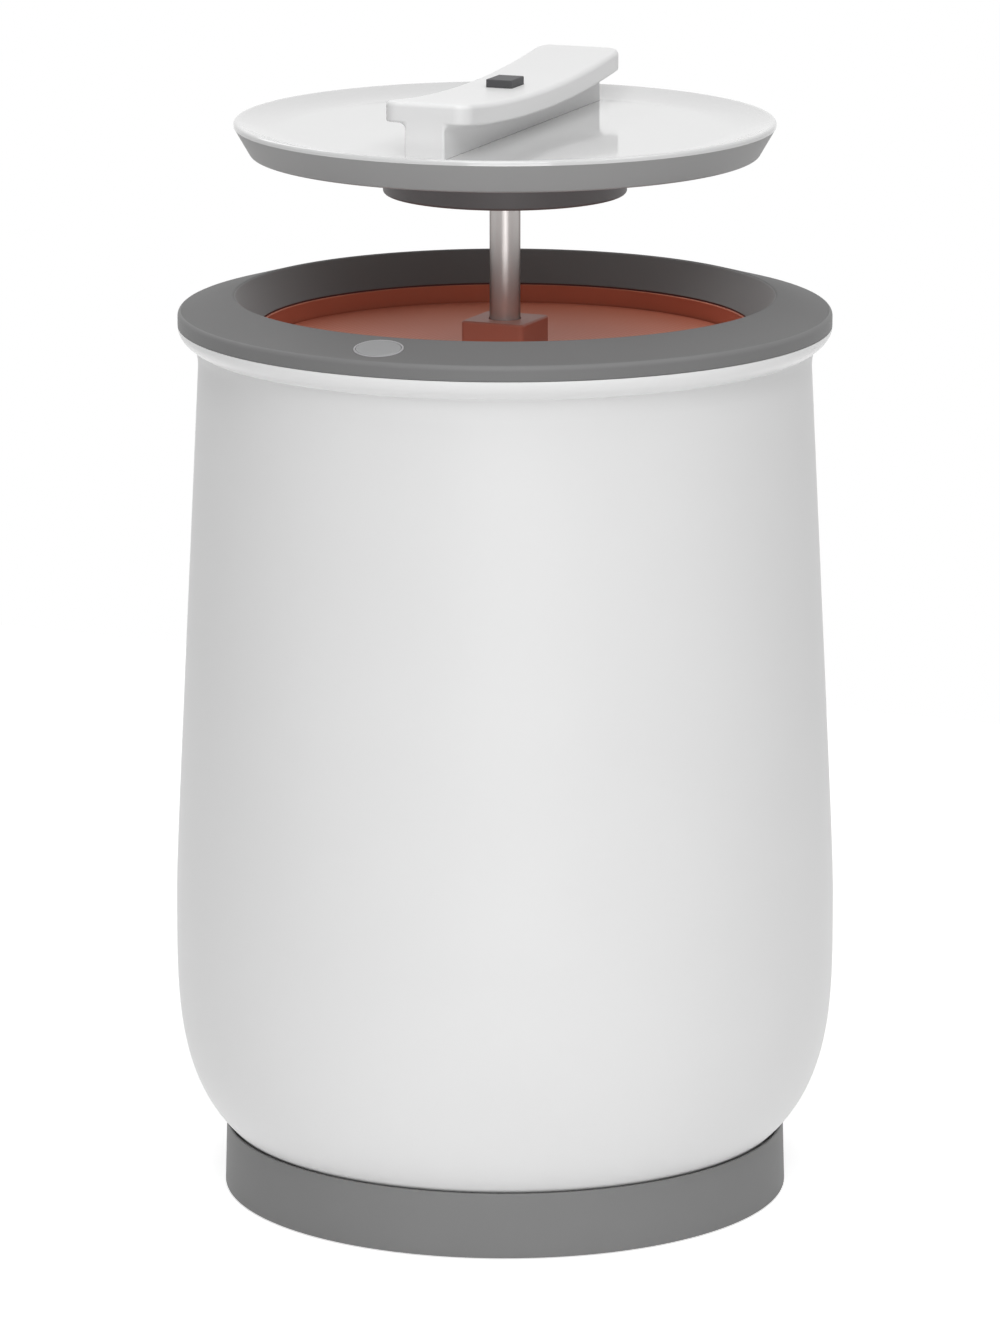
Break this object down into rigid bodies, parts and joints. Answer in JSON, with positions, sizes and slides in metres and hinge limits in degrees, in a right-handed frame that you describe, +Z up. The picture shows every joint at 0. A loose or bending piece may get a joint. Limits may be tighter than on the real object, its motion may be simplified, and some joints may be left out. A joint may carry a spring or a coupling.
{
  "type": "towel warmer bucket",
  "caption": "Electric towel warmer bucket with a heated liner, a rim with a power button and a lift-out lid that carries a tray on a telescopic post.",
  "frame": {"origin": "centre of the base on the floor", "axes": "+Z up along the body's axis; the power button on the rim faces -Y; +X is to the right seen from the front"},
  "size_m": [0.3468, 0.3468, 0.5924],
  "materials": {
    "white_gloss": "glossy white injection-moulded ABS",
    "grey_satin": "satin mid-grey injection-moulded ABS",
    "dark_grey": "fine-textured dark grey plastic",
    "button_dark": "satin dark grey plastic",
    "key_grey": "satin light grey plastic",
    "key_outline": "translucent light-guide plastic",
    "liner_copper": "copper-brown anodised aluminium, spun",
    "socket_copper": "copper-brown moulded plastic",
    "post_chrome": "brushed and chromed steel tube",
    "bush_plastic": "low-friction acetal",
    "steel": "zinc-plated steel",
    "rubber_black": "moulded rubber",
    "silicone": "moulded silicone",
    "wool": "needled glass wool",
    "phenolic": "heat-resistant nylon",
    "circuit_board": "glass-epoxy board",
    "terminal_green": "nylon terminal block",
    "core_steel": "lacquered laminated core",
    "fuse_metal": "brass fuse case",
    "lead_black": "silicone-insulated wire"
  },
  "bodies": {
    "bucket": {"base_ring": "grey_satin", "cord_gland": "rubber_black", "base_plate": "dark_grey", "rubber_feet": "rubber_black", "base_screws": "steel", "outer_shell": "white_gloss", "top_collar": "white_gloss", "rim_ring": "grey_satin", "rim_screws": "steel", "liner_gasket": "silicone", "button_outline_ring": "key_outline", "switch_board": "circuit_board", "tact_switch": "phenolic", "switch_board_screws": "steel", "inner_liner": "liner_copper", "heater_band": "silicone", "insulation_jacket": "wool", "liner_stand": "phenolic", "floor_heater": "silicone", "insulation_pad": "wool", "thermostat": "phenolic", "thermal_fuse": "fuse_metal", "sensor_bracket": "phenolic", "control_board": "circuit_board", "control_board_screws": "steel", "relay": "phenolic", "transformer": "core_steel", "terminal_block": "terminal_green", "small_board_parts": "phenolic", "heater_leads": "lead_black", "switch_lead": "lead_black"},
    "lid": {"lid_top": "white_gloss", "lid_skirt": "grey_satin", "lid_screws": "steel", "lid_insulation": "wool", "lid_hub": "dark_grey", "hub_screws": "steel", "grip": "white_gloss", "grip_screws": "steel", "post_outer_tube": "post_chrome", "outer_tube_bush": "bush_plastic", "post_flange": "steel", "post_flange_screws": "steel", "post_lock": "bush_plastic", "button_spring": "steel"},
    "lock_button": {"grip_button": "button_dark", "release_rod": "steel"},
    "post_stage_a": {"post_middle_tube_a": "post_chrome", "middle_tube_a_bush": "bush_plastic"},
    "post_stage_b": {"post_middle_tube_b": "post_chrome", "middle_tube_b_bush": "bush_plastic"},
    "tray": {"tray_plate": "liner_copper", "post_socket": "socket_copper", "socket_screws": "steel", "tray_wiper": "silicone", "post_inner_tube": "post_chrome", "post_foot_plug": "bush_plastic", "post_foot_screw": "steel"},
    "power_key": {"power_button": "key_grey"}
  },
  "joints": [
    {"name": "lid_lift", "type": "slide", "parent": "bucket", "child": "lid", "axis": [0, 0, 1], "range_m": [-0.0847, 0.36]},
    {"name": "post_extend", "type": "slide", "parent": "lid", "child": "tray", "axis": [0, 0, 1], "range_m": [-0.285, 0]},
    {"name": "post_middle_a", "type": "slide", "parent": "lid", "child": "post_stage_a", "axis": [0, 0, 1], "range_m": [-0.095, 0]},
    {"name": "post_middle_b", "type": "slide", "parent": "lid", "child": "post_stage_b", "axis": [0, 0, 1], "range_m": [-0.19, 0]},
    {"name": "lock_press", "type": "slide", "parent": "lid", "child": "lock_button", "axis": [0, 0, 1], "range_m": [-0.003, 0], "stiffness_N_per_m": 300, "springref_m": 0.002, "deforming": ["button_spring"]},
    {"name": "power_press", "type": "slide", "parent": "bucket", "child": "power_key", "axis": [0, -0.2641, 0.9645], "range_m": [-0.0008, 0], "stiffness_N_per_m": 1500, "springref_m": 0.0004}
  ],
  "couplings": [
    {"joint": "post_middle_a", "follows": "post_extend", "ratio": 0.33333},
    {"joint": "post_middle_b", "follows": "post_extend", "ratio": 0.66666}
  ]
}
